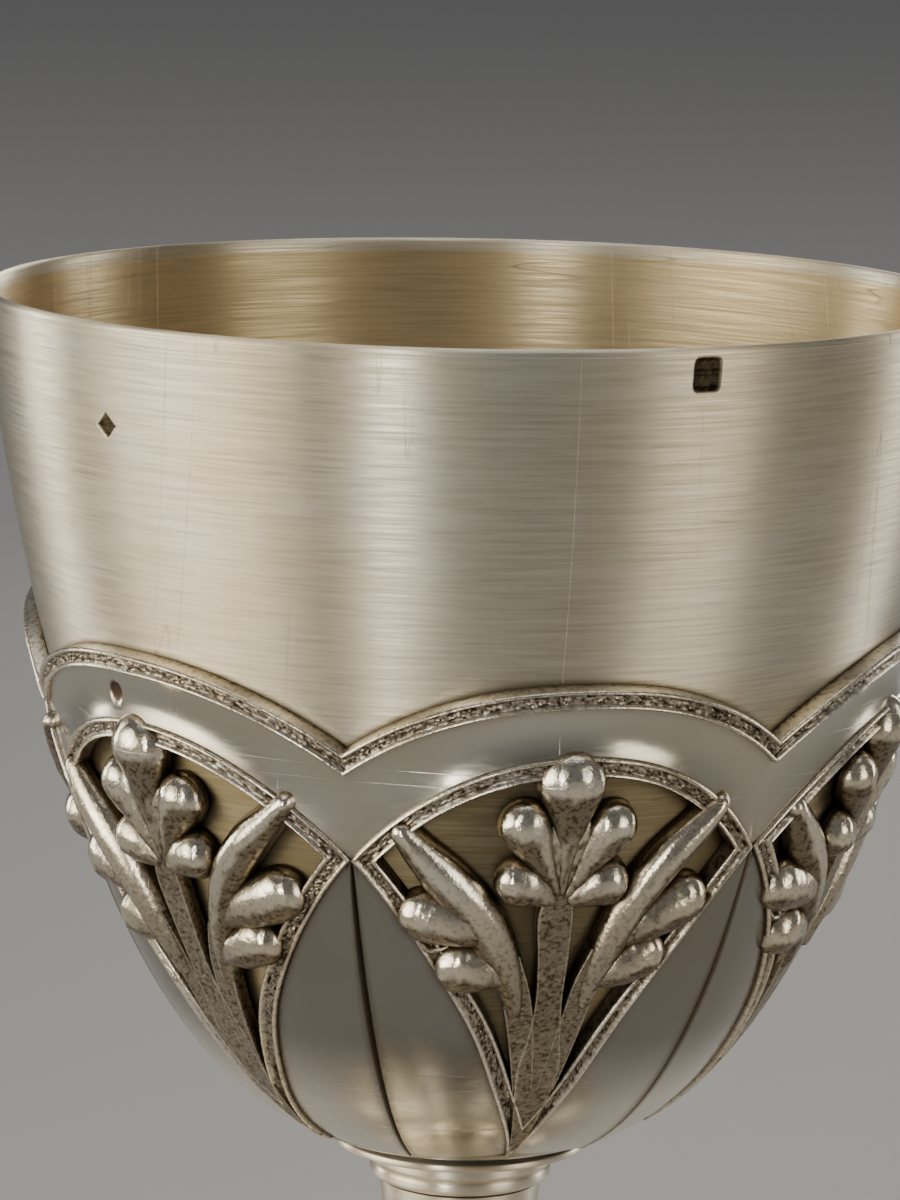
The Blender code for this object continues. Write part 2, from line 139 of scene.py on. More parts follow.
def add_object(name, data):
    """A new object in the scene."""
    made = bpy.data.objects.new(name, data)
    bpy.context.scene.collection.objects.link(made)
    return made


def make_piece(name, skins, material, slot, *nodes):
    """One smooth mesh of closed skins, which rides on the one body and stands for the nodes."""
    spots = np.vstack([spots for spots, faces, marks in skins])
    starts = np.cumsum([0] + [len(spots) for spots, faces, marks in skins[:-1]])
    faces = np.vstack([faces + start for (_, faces, _), start in zip(skins, starts)])
    solid = np.ones(faces.shape, bool)
    solid[:, 1:] = faces[:, 1:] != faces[:, :-1]
    sizes = solid.sum(axis=1)
    mesh = bpy.data.meshes.new(name)
    mesh.vertices.add(len(spots))
    mesh.vertices.foreach_set("co", spots.astype(np.float32).ravel())
    mesh.loops.add(int(sizes.sum()))
    mesh.loops.foreach_set("vertex_index", faces[solid].astype(np.int32))
    mesh.polygons.add(len(faces))
    mesh.polygons.foreach_set("loop_start", np.append(0, np.cumsum(sizes)[:-1]).astype(np.int32))
    mesh.update(calc_edges=True)
    for mark in skins[0][2]:
        values = np.concatenate([marks[mark] for spots, faces, marks in skins]).astype(np.float32)
        mesh.attributes.new(mark, "FLOAT", "POINT").data.foreach_set("value", values)
    mesh.shade_smooth()
    mesh.set_sharp_from_angle(angle=radians(50))
    mesh.materials.append(material)
    piece = add_object(name, mesh)
    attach(piece, "root")
    if nodes:
        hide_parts(*nodes)
    return piece


def ripple(spots, size, seed, waves=14):
    """A smooth unevenness between about -1 and 1: a sum of waves of about one size in random directions."""
    draw = np.random.default_rng(seed)
    ways = draw.normal(size=(waves, 3))
    ways *= (2 * pi / size) / np.linalg.norm(ways, axis=1, keepdims=True) * draw.uniform(0.6, 1.4, (waves, 1))
    return np.cos(spots @ ways.T + draw.uniform(0, 2 * pi, waves)).sum(axis=-1) / np.sqrt(waves) / 1.4


def feed(tree, made, inputs):
    """Joins a node's inputs, by name or number, to outputs, or sets them to plain values."""
    for key, source in dict(inputs).items():
        if isinstance(source, bpy.types.NodeSocket):
            tree.links.new(source, made.inputs[key])
        else:
            made.inputs[key].default_value = source


def node(tree, kind, inputs=(), **settings):
    """A new shader node with its settings and its inputs."""
    made = tree.nodes.new(kind)
    for setting, value in settings.items():
        setattr(made, setting, value)
    feed(tree, made, inputs)
    return made


def maths(tree, operation, *values):
    """A sum on one or two values."""
    return node(tree, "ShaderNodeMath", enumerate(values), operation=operation).outputs[0]


def added(tree, value, more, times):
    """A value plus so many times another."""
    return maths(tree, "ADD", value, maths(tree, "MULTIPLY", more, times))


def spread(tree, value, low, high, to_low=0.0, to_high=1.0):
    """A value between low and high, moved to lie between two others."""
    places = {"Value": value, "From Min": low, "From Max": high, "To Min": to_low, "To Max": to_high}
    return node(tree, "ShaderNodeMapRange", places).outputs["Result"]


def blend(tree, share, first, second):
    """A colour between two colours."""
    return node(tree, "ShaderNodeMix", {0: share, 6: first, 7: second}, data_type="RGBA").outputs[2]


def grain(tree, scale, turn=(0, 0, 0), detail=2.0, warp=0.0):
    """Noise on the object's own coordinates, stretched by a scale of its own along each axis."""
    place = node(tree, "ShaderNodeTexCoord").outputs["Object"]
    mapped = node(tree, "ShaderNodeMapping", {"Vector": place, "Rotation": turn, "Scale": scale}).outputs[0]
    noise = {"Vector": mapped, "Scale": 1.0, "Detail": detail, "Roughness": 0.55, "Distortion": warp}
    return node(tree, "ShaderNodeTexNoise", noise).outputs["Fac"]


def hairlines(tree, scale, turn, width):
    """Fine scratches: lines on which a stretched noise has its middle value, broken up by a coarser one."""
    fine = grain(tree, scale, turn, detail=0.0, warp=0.05)
    coarse = grain(tree, tuple(0.2 * part for part in scale), turn, detail=1.0)
    line = maths(tree, "ABSOLUTE", maths(tree, "SUBTRACT", fine, 0.5))
    return maths(tree, "MULTIPLY", spread(tree, line, width, 0.0), spread(tree, coarse, 0.50, 0.62))


# The grains of the spots and the clouds of tarnish, per metre, and the tint that the clouds give the silver.
SPOT_GRAIN = (2300, 2300, 2300)
CLOUD_GRAIN = (45, 45, 45)
WARM_TINT = (0.96, 0.90, 0.78)

# Two sets of scratches: the grain that they lie in and its turn.
SCRATCHES = (((16, 16, 520), (0.5, 0.2, 0.3)), ((620, 22, 16), (0.2, 0.9, 0.6)))
SCRATCH_WIDTH = 0.006
SCRATCH_DEPTH = 0.000007
PIT_DEPTH = 0.0002

# What lies in the deepest hollows, where the tarnish is past 1.
DIRT = (0.025, 0.018, 0.012)


def silver(
    name,
    bright,
    dull,
    roughness,
    brushing,
    brush_height,
    pits=0.0,
    turned=0.0,
    second=None,
    crevice=0.0,
    stain=0.16,
    streaks=0.0,
):
    """Silver that is bright where it stands proud and dull where its mesh marks it dark, brushed along the
    stretched noise.

    The mesh's hollow mark holds patina in hollows and, on some pieces, painted shade and painted reflections;
    the mesh also says where the second colour covers it. The darkening is the marked darkness, the spots, the
    clouds and the streaks added up.
    """
    material = bpy.data.materials.new(name)
    material.use_nodes = True
    tree = material.node_tree
    shader = tree.nodes["Principled BSDF"]
    hollow = node(tree, "ShaderNodeAttribute", attribute_name="hollow").outputs["Fac"]
    # Ambient occlusion darkens tight creases: patina there, together with painted shade.
    if crevice:
        open_share = node(tree, "ShaderNodeAmbientOcclusion", {"Distance": crevice}, samples=6).outputs["AO"]
        hollow = maths(tree, "MAXIMUM", hollow, spread(tree, open_share, 0.92, 0.45))
    spots = grain(tree, SPOT_GRAIN, detail=3.0)
    clouds = grain(tree, CLOUD_GRAIN, detail=3.0)
    darkening = maths(tree, "ADD", hollow, spread(tree, spots, 0.5, 0.75, 0.0, 0.5 * min(1.0, pits * 4)))
    darkening = maths(tree, "ADD", darkening, spread(tree, clouds, 0.45, 0.8, 0.0, stain))
    lines = maths(tree, "MAXIMUM", *(hairlines(tree, *scratch, SCRATCH_WIDTH) for scratch in SCRATCHES))
    if streaks:
        across, _, along = brushing
        coarse = grain(tree, (1.4 * across, 1.4 * across, 0.55 * along), detail=4.0)
        darkening = maths(tree, "ADD", darkening, spread(tree, coarse, 0.42, 0.72, 0.0, streaks))
        darkening = added(tree, darkening, lines, 0.7 * streaks)
    warm = tuple(part * tint for part, tint in zip(bright, WARM_TINT))
    clean = blend(tree, spread(tree, clouds, 0.35, 0.7), (*bright, 1), (*warm, 1))
    if second:
        covered = node(tree, "ShaderNodeAttribute", attribute_name="second").outputs["Fac"]
        clean = blend(tree, covered, clean, (*second, 1))
    colour = blend(tree, node(tree, "ShaderNodeClamp", {"Value": darkening}).outputs[0], clean, (*dull, 1))
    colour = blend(tree, spread(tree, darkening, 1.15, 1.9), colour, (*DIRT, 1))
    strokes = grain(tree, brushing, detail=3.0)
    rough = spread(tree, strokes, 0.3, 0.7, roughness * 0.75, roughness * 1.3)
    rough = added(tree, rough, hollow, 0.25)
    rough = added(tree, rough, lines, 0.15)
    height = maths(tree, "MULTIPLY", strokes, brush_height)
    height = added(tree, height, lines, -SCRATCH_DEPTH)
    height = added(tree, height, spots, pits * PIT_DEPTH)
    bump = node(tree, "ShaderNodeBump", {"Height": height, "Distance": 1.0, "Strength": 1.0}).outputs[0]
    feed(tree, shader, {"Base Color": colour, "Roughness": rough, "Normal": bump, "Metallic": 1.0})
    if turned:
        ring = node(tree, "ShaderNodeTangent", direction_type="RADIAL", axis="Z").outputs[0]
        feed(tree, shader, {"Anisotropic": turned, "Anisotropic Rotation": 0.25, "Tangent": ring})
    return material


def refined(steps, ranges, step):
    """Even steps, with finer ones over each range."""
    fine = [np.arange(low, high + step, step) for low, high in ranges]
    kept = [at for at in steps if not any(low <= at <= high for low, high in ranges)]
    return np.sort(np.concatenate([kept, *fine]))


def punched(turn, depth):
    """How deep the punch marks are sunk: a flat pebbled floor with steep sides, 1 inside and 0 outside."""
    sunk = 0
    for mark_turn, mark_depth, half_width, half_height, power in PUNCH_MARKS:
        aside = np.abs(np.radians(turn - mark_turn)) * RIM_RADIUS / half_width
        along = np.abs(depth - mark_depth) / half_height
        reach = (aside**power + along**power) ** (1 / power)
        sunk = sunk + held((1 - reach) / PUNCH_SIDE)
    return sunk


def cup_skin():
    """The cup's wall: inside from its middle up, round the lip and down the outer side, turned about Z."""
    reaches = [np.degrees(half * MARK_MARGIN / RIM_RADIUS) for _, _, half, _, _ in PUNCH_MARKS]
    columns = [(mark[0] - reach, mark[0] + reach) for mark, reach in zip(PUNCH_MARKS, reaches)]
    rows = [(at - half * MARK_MARGIN, at + half * MARK_MARGIN) for _, at, _, half, _ in PUNCH_MARKS]
    turns = refined(all_round(CUP_COLUMNS), columns, np.degrees(MARK_STEP / RIM_RADIUS))
    outer = BOWL_DEPTH * np.sin(np.linspace(0, pi / 2, OUTER_ROWS))
    outer = refined(outer, rows, MARK_STEP)
    outer = outer[outer > CUP_WALL / 2]
    inner = BOWL_DEPTH * np.sin(np.linspace(0, pi / 2, INNER_ROWS))
    inner = np.sort(np.append(inner, [GILDING_DEPTH - MARK_STEP, GILDING_DEPTH + MARK_STEP]))
    inner = inner[inner > CUP_WALL / 2]
    inner_radius, inner_height, _, _ = bowl(inner[::-1], -CUP_WALL)
    outer_radius, outer_height, out, rise = bowl(outer)
    lip_turn = np.linspace(0, pi, LIP_ROWS + 2)[1:-1]
    lip_radius = RIM_RADIUS - CUP_WALL / 2 - CUP_WALL / 2 * np.cos(lip_turn)
    lip_height = LIP_HEIGHT - CUP_WALL / 2 + CUP_WALL / 2 * np.sin(lip_turn)
    radius = np.concatenate([inner_radius, lip_radius, outer_radius])
    radius = np.maximum(radius, POLE_RADIUS)
    height = np.concatenate([inner_height, lip_height, outer_height])
    spots = around(turns[None, :], radius[:, None], height[:, None])
    start = len(inner_radius) + len(lip_radius)
    outside = spots[start:]
    depth = outer[:, None]
    fade = held(depth / DENTED_FROM)
    dents = DENTS[0] * fade * (ripple(outside * DENTS[2], DENTS[1], 3) - 1)
    dents += WAVES[0] * (ripple(outside * WAVES[2], WAVES[1], 4) - 1)
    sunk = punched(turns[None, :], depth)
    pebbles = 1 + 0.3 * ripple(outside, PUNCH_PEBBLE, 5)
    inward = dents - PUNCH_SINK * sunk * pebbles
    outside += inward[..., None] * around(turns[None, :], out[:, None], 0) * (1, 1, 0)
    outside[..., 2] += inward * rise[:, None]
    gilding = np.zeros(spots.shape[:2])
    gilding[: len(inner_radius)] = (inner[::-1] > GILDING_DEPTH)[:, None]
    hollow = np.zeros(spots.shape[:2])
    hollow[start:] = np.maximum(PUNCH_DIRT * sunk * (1 + 0.25 * pebbles), film(turns[None, :], depth))
    return skin(spots, hollow=hollow, second=gilding)


LOBES = 6
LOBE_DEGREES = 360 / LOBES
HALF_LOBE = LOBE_DEGREES / 2
CREST_DEPTH = 0.0291
SCALLOP_DIP = 0.0062
SCALLOP_POWER = 2.25

# The lobes were laid out by eye: at these degrees the ornament strays so many degrees from an even spacing.
STRAY_TURNS = (-180, -60, -30, -15, 0, 10, 20, 30, 40, 60, 95, 180)
STRAYS = (0, 0, 0.6, 0.1, 0, -0.4, -1.2, -2.0, -1.7, -1.5, 0, 0)


def lobe_share(turn):
    """How far a turn in degrees is from the middle of its lobe: 0 there, and 1 at a notch."""
    return np.abs((turn + HALF_LOBE) % LOBE_DEGREES - HALF_LOBE) / HALF_LOBE


def strayed(turn):
    """Where the ornament of an even spacing really lies, in degrees."""
    return turn + np.interp((turn + 180) % 360 - 180, STRAY_TURNS, STRAYS)


def scallop(turn):
    """Depth of the calyx's top edge: a power curve from a lobe's crest to the notch between two lobes."""
    return CREST_DEPTH + SCALLOP_DIP * lobe_share(turn) ** SCALLOP_POWER


def film(turn, depth):
    """The dull film on the cup behind the calyx, which starts under the scalloped band."""
    even = turn - (strayed(turn) - turn)
    return FILM * held((depth - scallop(even) - FILM_GAP) / FILM_RISE)


cup_finish = silver(
    "brushed_silver_cup",
    bright=(0.84, 0.80, 0.67),
    dull=(0.30, 0.245, 0.14),
    roughness=0.46,
    brushing=(90, 90, 6500),
    brush_height=0.000006,
    turned=0.92,
    second=(0.81, 0.67, 0.41),
    crevice=0.0006,
    streaks=0.30,
)
make_piece("cup_spun", [cup_skin()], cup_finish, "cup_silver", "cup")


# The calyx. A cast false cup, chased by hand, which holds the cup in six scalloped lobes. A band of two wires
# with a hatched strip between them runs along its top edge, and the same band frames each pierced window.
MM = 0.001
CALYX_STAND = 0.0012
CALYX_UNDER = -0.00085
CALYX_BACK = -0.00116
CALYX_FOOT = 0.0794
BAND_WIDTH = 0.00175
FRAME_WIDTH = 0.0018
HALF_LOBE_WIDTH = 0.022
HATCH_HEIGHT = 0.00007
HATCH_DARK = 0.66
HATCH_CONTRAST = 0.18
HATCH_FROM = 0.27
HATCH_TO = 0.73
WIRE_FOOT = 0.00012
BAND_WEAR = 0.00002
SCALLOP_COLUMNS = 6 * 220

# The band's section: shares of its width, and the lift off the calyx's face in metres.
BAND_SECTION = (
    (0, CALYX_BACK),
    (0, 0.00016), (0.03, 0.00036), (0.11, 0.00044), (0.19, 0.00038), (0.24, 0.00014), (0.31, 0.00004),
    (0.38, 0.00006), (0.46, 0.00007), (0.54, 0.00007), (0.62, 0.00006), (0.69, 0.00004),
    (0.76, 0.00014), (0.81, 0.00038), (0.89, 0.00044), (0.97, 0.00036), (1, 0.00012),
    (1, CALYX_BACK),
)

# The arch over a window, which runs on as the next petal's edge: half lobes from its crown, mm below the lip.
ARCH_LINE = ((-0.5, 37.5), (0, 35.2), (0.5, 37.5), (1, 45.2), (1.5, 59.3), (1.75, 69.1), (2, 77.4))

fine_depths = BOWL_DEPTH * np.sin(np.linspace(0, pi / 2, 4000))
face_table = bowl(fine_depths, CALYX_STAND)


def face(depth):
    """Radius and outward direction of the calyx's face at a depth below the lip."""
    columns = (face_table[0], face_table[2], face_table[3])
    return [np.interp(np.asarray(depth) - LIP_HEIGHT, -face_table[1], column) for column in columns]


def on_calyx(turn, depth, lift):
    """Spots at a turn in degrees and a depth in metres, lifted square to the calyx's face."""
    radius, out, rise = face(depth)
    return around(strayed(turn), radius + lift * out, LIP_HEIGHT - depth + lift * rise)


def degree_width(depth):
    """Metres round the calyx for one degree at this depth."""
    return face(depth)[0] * pi / 180


def depth_length(depth):
    """Metres along the calyx's face for one metre of depth: more where it turns in."""
    return 1 / face(depth)[1]


def smooth_line(points, steps):
    """A curve through the points, which leaves each one along the line between its neighbours."""
    points = np.asarray(points, float)
    ends = np.vstack([2 * points[0] - points[1], points, 2 * points[-1] - points[-2]])
    share = np.arange(steps)[:, None] / steps
    stretches = []
    for before, start, end, after in zip(ends[:-3], ends[1:-2], ends[2:-1], ends[3:]):
        bend = 2 * before - 5 * start + 4 * end - after
        twist = 3 * start - before - 3 * end + after
        stretches.append(0.5 * (2 * start + (end - before) * share + bend * share**2 + twist * share**3))
    return np.vstack([*stretches, points[-1:]])


arch_fine = smooth_line(ARCH_LINE, 40) * (1, MM)


def arch(share):
    """Depth of the arch's edge, so many half lobes from its crown."""
    return np.interp(np.abs(share), arch_fine[:, 0], arch_fine[:, 1])


def hatched(shape, seed, edge_dark):
    """A band's roughness and darkness: random on its strip, none on its wires, dark at the wires' feet."""
    share, lift = np.transpose(BAND_SECTION)
    strip = (share > HATCH_FROM) & (share < HATCH_TO)
    rough = np.random.default_rng(seed).normal(0, HATCH_HEIGHT, shape) * strip
    sides = np.where(lift <= WIRE_FOOT, edge_dark, 0.0)
    return rough, np.where(strip, HATCH_DARK - rough / HATCH_HEIGHT * HATCH_CONTRAST, sides)


def scallop_band():
    """The band along the top edge, all round: its section is set off square to the scalloped line."""
    section, lift = np.transpose(BAND_SECTION)
    turn = all_round(SCALLOP_COLUMNS)
    depth = scallop(turn)
    share = lobe_share(turn)
    slope = SCALLOP_DIP * SCALLOP_POWER * share ** (SCALLOP_POWER - 1) / HALF_LOBE
    steep = np.hypot(1, slope * depth_length(depth) / degree_width(depth)) / depth_length(depth)
    turns = turn[:, None] + 0 * section
    depths = depth[:, None] + section * steep[:, None] * BAND_WIDTH
    rough, dark = hatched(turns.shape, seed=11, edge_dark=0.6)
    worn = BAND_WEAR * ripple(on_calyx(turns, depths, 0), 0.004, 11)
    return skin(on_calyx(turns, depths, lift + rough + worn * (lift > 0)), joined=True, hollow=dark)


def frame_line(offset, top_steps=170, side_steps=190):
    """A window's edge, drawn in by the offset: over the arch, down the right side and up the left one."""
    def side(run):
        depth = arch(run)
        fall = np.gradient(depth, run) * depth_length(depth)
        across = degree_width(depth) * HALF_LOBE
        return 2 - run - offset * np.hypot(fall, across) / fall / across, depth

    def top(share):
        depth = arch(share)
        fall = np.gradient(depth, share) * depth_length(depth)
        across = degree_width(depth) * HALF_LOBE
        return depth + offset * np.hypot(fall, across) / across / depth_length(depth)

    runs = np.linspace(1, 2, 1200)
    side_share, side_depth = side(runs)
    fine = np.linspace(-1, 1, 1201)
    inside = (side_depth > np.interp(side_share, fine, top(fine)) - 1e-9) & (side_share > -1e-9)
    first, last = np.flatnonzero(inside)[[0, -1]]
    kept = slice(first, last + 1)
    length = np.hypot(np.gradient(side_share[kept]) * HALF_LOBE_WIDTH, np.gradient(side_depth[kept])).cumsum()
    places = np.linspace(length[0], length[-1], side_steps)
    right = np.stack([np.interp(places, length, run[kept]) for run in (side_share, side_depth)], axis=1)
    right[-1, 0] = 0
    top_share = np.linspace(-right[0, 0], right[0, 0], top_steps)
    over = np.stack([top_share, np.interp(top_share, fine, top(fine))], axis=1)
    line = np.vstack([over[:-1], right[:-1], (right * (-1, 1))[:0:-1]])
    return line * (HALF_LOBE, 1)


def window_frame(lobe, frames):
    """The band round one window: its offsets meet on a mitre in the corners."""
    lift = np.transpose(BAND_SECTION)[1]
    turns, depths = np.moveaxis(frames, -1, 0)
    rough, dark = hatched(turns.shape, seed=20 + lobe, edge_dark=0.7)
    return skin(on_calyx(turns + lobe * LOBE_DEGREES, depths, lift + rough), joined=True, hollow=dark)


frames = np.stack([frame_line(share * FRAME_WIDTH) for share, lift in BAND_SECTION], axis=1)
calyx_finish = silver(
    "chased_silver_bands",
    bright=(0.88, 0.83, 0.72),
    dull=(0.085, 0.06, 0.035),
    roughness=0.24,
    brushing=(900, 900, 1500),
    brush_height=0.000006,
    pits=0.25,
    crevice=0.0012,
)
bands = [scallop_band()] + [window_frame(lobe, frames) for lobe in range(LOBES)]
make_piece("calyx_bands", bands, calyx_finish, "calyx_silver", "calyx")


# The calyx's plain parts. A polished cove runs between the scalloped band and the arches, and six petals with
# a chased middle vein fill the space between the windows down to a plain ring. They are one casting.
COVE_DEPTH = 0.00070
COVE_LIFT = 0.00010
COVE_TOP_GAP = 0.0014
COVE_LOW_GAP = 0.0003
COVE_COLUMNS = 150
COVE_ROWS = 19

# The cove's small blank punch mark: its degrees and depth, its radius and how deep it is sunk.
COVE_MARK = (-64.7, 0.0332, 0.0010, 0.00016)
COVE_MARK_SIDE = 0.2

PETAL_TIP = 1.012
PETAL_ROWS = 110
PETAL_SWELL = 0.00035
PETAL_SINK = 0.00005
VEIN_DEPTH = 0.00030
VEIN_HALF_WIDTH = 0.00034
VEIN_LIP = 0.00011
VEIN_LIP_WIDTH = 0.00018

# Below this depth the petals turn bright and warm: a painted reflection.
SHEEN_PAINTED_FROM = 0.0635
SHEEN_PAINTED_LENGTH = 0.008


def cove():
    """The concave field: rows from the band to the arches, sunk by half a sine wave, all round."""
    turn = refined(all_round(LOBES * COVE_COLUMNS), [(COVE_MARK[0] - 2, COVE_MARK[0] + 2)], 0.1)
    share = lobe_share(turn)
    start = scallop(turn) + COVE_TOP_GAP
    end = arch(share) + COVE_LOW_GAP
    rows = np.linspace(0, 1, COVE_ROWS)
    depth = start[:, None] + (end - start)[:, None] * rows
    mark_turn, mark_depth, mark_radius, mark_sink = COVE_MARK
    reach = np.hypot((turn - mark_turn)[:, None] * degree_width(depth), depth - mark_depth) / mark_radius
    sunk = held((1 - reach) / COVE_MARK_SIDE)
    lift = COVE_LIFT - COVE_DEPTH * np.sin(pi * rows**0.85) - mark_sink * sunk
    uneven = WAVES[0] * ripple(on_calyx(turn[:, None], depth, 0), 0.006, 31)
    top = on_calyx(turn[:, None], depth, lift + uneven)
    under = on_calyx(turn[:, None], depth[:, [-1, 0]], CALYX_UNDER)
    # Painted shade: the cove's top and bottom rows, by the band and by the arches, are darker.
    dark = np.append(0.5 * held(1 - rows * 9) + 0.5 * held(rows * 9 - 8), [0, 0])
    dark = np.maximum(dark, PUNCH_DIRT * np.pad(sunk, ((0, 0), (0, 2))))
    return skin(np.concatenate([top, under], axis=1), joined=True, hollow=dark)


def petal(lobe):
    """A petal: across it a low swell with a V-shaped groove in its middle, carried down from its tip."""
    share = np.linspace(0, 1, PETAL_ROWS) ** 0.9
    runs = PETAL_TIP + (2 - PETAL_TIP) * share
    depth = arch(runs)
    half = (runs - 1) * HALF_LOBE * degree_width(depth)
    groove = np.minimum(VEIN_HALF_WIDTH * (0.55 + 0.45 * np.sin(pi * share)), 0.3 * half)
    side = np.linspace(0, 1, 15)
    middle = np.array([-0.6, -0.2, 0, 0.2, 0.6])
    left = -half[:, None] + (half - groove)[:, None] * side
    centre = groove[:, None] * middle
    place = np.concatenate([left, centre, -left[:, ::-1]], axis=1)
    spread_share = place / half[:, None]
    swell = np.minimum(PETAL_SWELL, 0.05 * half)[:, None] * (1 - spread_share**2)
    cut = held(1 - np.abs(place) / groove[:, None]) * np.minimum(VEIN_DEPTH, 0.8 * groove)[:, None]
    lips = VEIN_LIP * np.exp(-(((np.abs(place) - 1.25 * groove[:, None]) / VEIN_LIP_WIDTH) ** 2))
    turn = lobe * LOBE_DEGREES + HALF_LOBE + place / degree_width(depth)[:, None]
    top = on_calyx(turn, depth[:, None], swell - cut + lips - PETAL_SINK)
    under = on_calyx(turn[:, [-1, 0]], depth[:, None], CALYX_UNDER)
    # Painted shadow along the petal's outer edges, beside the frames; the vein's darkness is patina in its
    # groove.
    edge = held(np.abs(spread_share) * 12 - 11)
    vein = held(1.5 - np.abs(place) / groove[:, None])
    dark = np.concatenate([np.maximum(0.9 * vein, 0.55 * edge), np.zeros((len(runs), 2))], axis=1)
    # Painted reflection: the bright warm second colour towards the petal's bottom.
    painted_sheen = held((depth - SHEEN_PAINTED_FROM) / SHEEN_PAINTED_LENGTH)[:, None] ** 1.3
    return skin(np.concatenate([top, under], axis=1), hollow=dark, second=painted_sheen)


# The section of the ring that the petals end in: its depth, its lift off the calyx's face and its darkness.
RING_SECTION = (
    (0.0772, CALYX_UNDER, 0),
    (0.0774, 0.00002, 0.6),
    (0.0778, 0.00012, 0.1),
    (0.0783, 0.00014, 0),
    (0.0789, 0.00008, 0),
    (CALYX_FOOT, -0.00010, 0.4),
    (CALYX_FOOT, CALYX_UNDER, 0),
)
RING_COLUMNS = 240


def petal_ring():
    """The plain ring in which the petals end: a rounded edge at the calyx's foot."""
    turn = all_round(RING_COLUMNS)
    depth, lift, dark = np.transpose(RING_SECTION)
    return skin(on_calyx(turn[:, None], depth, lift), joined=True, hollow=dark)


cove_finish = silver(
    "polished_silver_cove",
    bright=(0.56, 0.54, 0.47),
    dull=(0.08, 0.055, 0.03),
    roughness=0.17,
    brushing=(500, 500, 3200),
    brush_height=0.000003,
    pits=0.01,
    crevice=0.0010,
    stain=0.10,
)
make_piece("calyx_cove", [cove(), petal_ring()], cove_finish, "calyx_silver")

# The petals' silver is painted dark grey, a painted dark reflection, and their second colour is a painted
# warm reflection at their bottoms.
petal_finish = silver(
    "satin_silver_petals",
    bright=(0.29, 0.285, 0.26),
    dull=(0.08, 0.05, 0.025),
    roughness=0.20,
    brushing=(500, 500, 2600),
    brush_height=0.000003,
    pits=0.01,
    crevice=0.0010,
    stain=0.08,
    second=(0.78, 0.73, 0.62),
)
make_piece("calyx_petals", [petal(lobe) for lobe in range(LOBES)], petal_finish, "calyx_silver")


# The sprays. In each window stands a flower of five berries on a flat, roughened stem, between two leaves of
# three plump lobes. They are cast with the calyx and burnished, and are painted darker where they face down,
# as painted shade and reflection.
SPRAY_FOOT = -0.00085
POD_SIDE = -0.00050

# Pods: a line of degrees and millimetres, the half widths along it and the crest's height, both in
# millimetres. The last berry is the low pad that joins the five.
BERRIES = (
    (
        ((-1, 34.7), (-0.85, 38), (-0.9, 42.5), (-1, 48.1)),
        (3.2, 3.25, 3.15, 2.5, 1.8, 1.35, 1, 0.75, 0.45),
        2.1,
    ),
    (
        ((-8.2, 39.4), (-6.6, 41.5), (-4.4, 44.3), (-2.6, 46.6), (-1.3, 48.2)),
        (2.35, 2.45, 2.35, 1.75, 1.3, 0.9, 0.45),
        1.8,
    ),
    (
        ((6.9, 39.7), (5.2, 41.8), (2.7, 44.5), (0.9, 46.8), (-0.6, 48.2)),
        (2.3, 2.4, 2.3, 1.75, 1.3, 0.9, 0.45),
        1.8,
    ),
    (((-10.4, 46.6), (-7.1, 46.9), (-4.2, 47.7), (-1.6, 48.7)), (2.15, 2.35, 2.25, 1.6, 0.6), 1.75),
    (((8.9, 46.9), (5.1, 47.1), (2.2, 47.9), (-0.3, 48.8)), (2.15, 2.35, 2.25, 1.6, 0.6), 1.75),
    (((-0.9, 39.8), (-0.95, 43.5), (-1, 48.3)), (2.4, 3.5, 2.4, 1), 0.85),
)

# Each leaf is its rib, from the tip to the stem, and the two lobes outside it. The left one has a small curl.
LEFT_LEAF = (
    (
        ((-23.8, 41.5), (-20.6, 44.1), (-16.9, 46.7), (-12.9, 49.6), (-9.8, 53), (-7.2, 57), (-5.9, 60.2)),
        (0.95, 1.6, 2.1, 2.2, 2.1, 1.9, 1.4, 0.8),
        1.6,
    ),
    (((-23.9, 49.5), (-19.3, 50.3), (-14.6, 50.9), (-9.6, 52.2)), (2.3, 2.65, 2.4, 1.1), 1.85),
    (((-18.6, 54.3), (-14.7, 55.1), (-11.2, 55.4), (-7.4, 56.4)), (2.3, 2.75, 2.4, 1), 1.85),
    (((-21.4, 52.3), (-19.6, 53.3), (-17.8, 53.3), (-16.2, 52.9)), (0.35, 0.45, 0.3), 0.55),
)
RIGHT_LEAF = (
    (
        ((22.7, 39.7), (19.2, 42.2), (14.7, 45.1), (10.9, 48.4), (8.4, 52), (6.1, 56.5), (5, 59.6)),
        (0.9, 1.45, 1.85, 1.9, 1.8, 1.6, 1.2, 0.7),
        1.6,
    ),
    (((22.1, 47.9), (18, 49.7), (13.5, 51), (8.4, 52.9)), (2.2, 2.6, 2.3, 1), 1.85),
    (((17, 53.1), (13.3, 54.6), (9.8, 55.6), (6.1, 57)), (2, 2.5, 2.2, 0.9), 1.8),
)

# Flat stems: a line of degrees and millimetres, and the half width at each point, in millimetres.
MIDDLE_STEM = (
    ((-1.1, 47.8), (-1.4, 50.2), (-1, 54.5), (-0.7, 58.5), (-0.4, 62.5), (-0.3, 66), (-0.2, 71), (0, 76.6)),
    (1.1, 1.6, 1.4, 1.25, 1.6, 2, 1.3, 0.2),
)
STEMS = (
    MIDDLE_STEM,
    (((-7.6, 54), (-6.2, 57.5), (-5, 60.5), (-3.9, 64), (-2.6, 68)), (1, 1.3, 1.25, 1.1, 0.9)),
    (((6.4, 53.6), (4.9, 57), (3.9, 60.5), (3, 64), (1.9, 68)), (1, 1.2, 1.15, 1.05, 0.9)),
)
MM_PER_DEGREE = 0.7
POD_WEAR = 0.00005
POD_WEAR_SIZE = 0.0014

